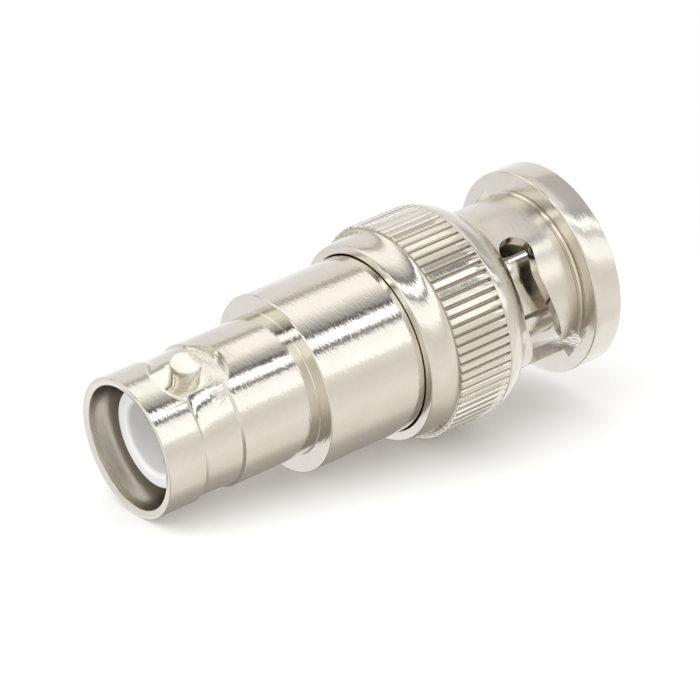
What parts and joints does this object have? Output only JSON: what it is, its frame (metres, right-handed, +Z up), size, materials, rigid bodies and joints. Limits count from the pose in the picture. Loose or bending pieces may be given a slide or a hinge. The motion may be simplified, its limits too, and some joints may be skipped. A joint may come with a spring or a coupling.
{
  "type": "coaxial bayonet adapter",
  "caption": "Straight coaxial adapter with a knurled, spring-loaded bayonet plug at one end, a thick stepped barrel and a lugged bayonet jack with a hollow white liner at the other.",
  "frame": {"origin": "on the common axis, in the plane of the plug's rim, which the part stands on", "axes": "+Z up the common axis from the plug's rim to the jack's mouth, +X through one of the jack's lugs"},
  "size_m": [0.015, 0.015, 0.0352],
  "materials": {
    "jack_nickel": "bright warm nickel plate, turned",
    "barrel_nickel": "bright warm nickel plate, turned",
    "nut_nickel": "bright warm nickel plate, knurled and milled",
    "finger_nickel": "satin nickel plate",
    "inner_nickel": "satin nickel plate",
    "gold_contact": "thin gold plate",
    "washer_brass": "plain, dull",
    "spring_steel": "plain strip",
    "white_liner": "waxy white",
    "inner_plastic": "waxy white",
    "gasket_rubber": "matt silicone"
  },
  "bodies": {
    "adapter": {"jack_shell": "jack_nickel", "jack_insulator": "white_liner", "jack_contact": "gold_contact", "barrel": "barrel_nickel", "centre_insulator": "inner_plastic", "plug_body": "inner_nickel", "outer_contact": "finger_nickel", "plug_insulator": "inner_plastic", "plug_pin": "gold_contact", "face_gasket": "gasket_rubber", "wave_washer": "spring_steel"},
    "spring_stop": {"thrust_washer": "washer_brass"},
    "nut": {"coupling_nut": "nut_nickel", "retaining_ring": "spring_steel"}
  },
  "joints": [
    {"name": "nut_pull", "type": "slide", "parent": "adapter", "child": "spring_stop", "axis": [0, 0, -1], "range_m": [0, 0.0008], "stiffness_N_per_m": 8000, "springref_m": -0.0008, "deforming": ["wave_washer"]},
    {"name": "nut_turn", "type": "hinge", "parent": "spring_stop", "child": "nut", "pos_m": [0, 0, 0.01266], "axis": [0, 0, 1], "continuous": true}
  ]
}
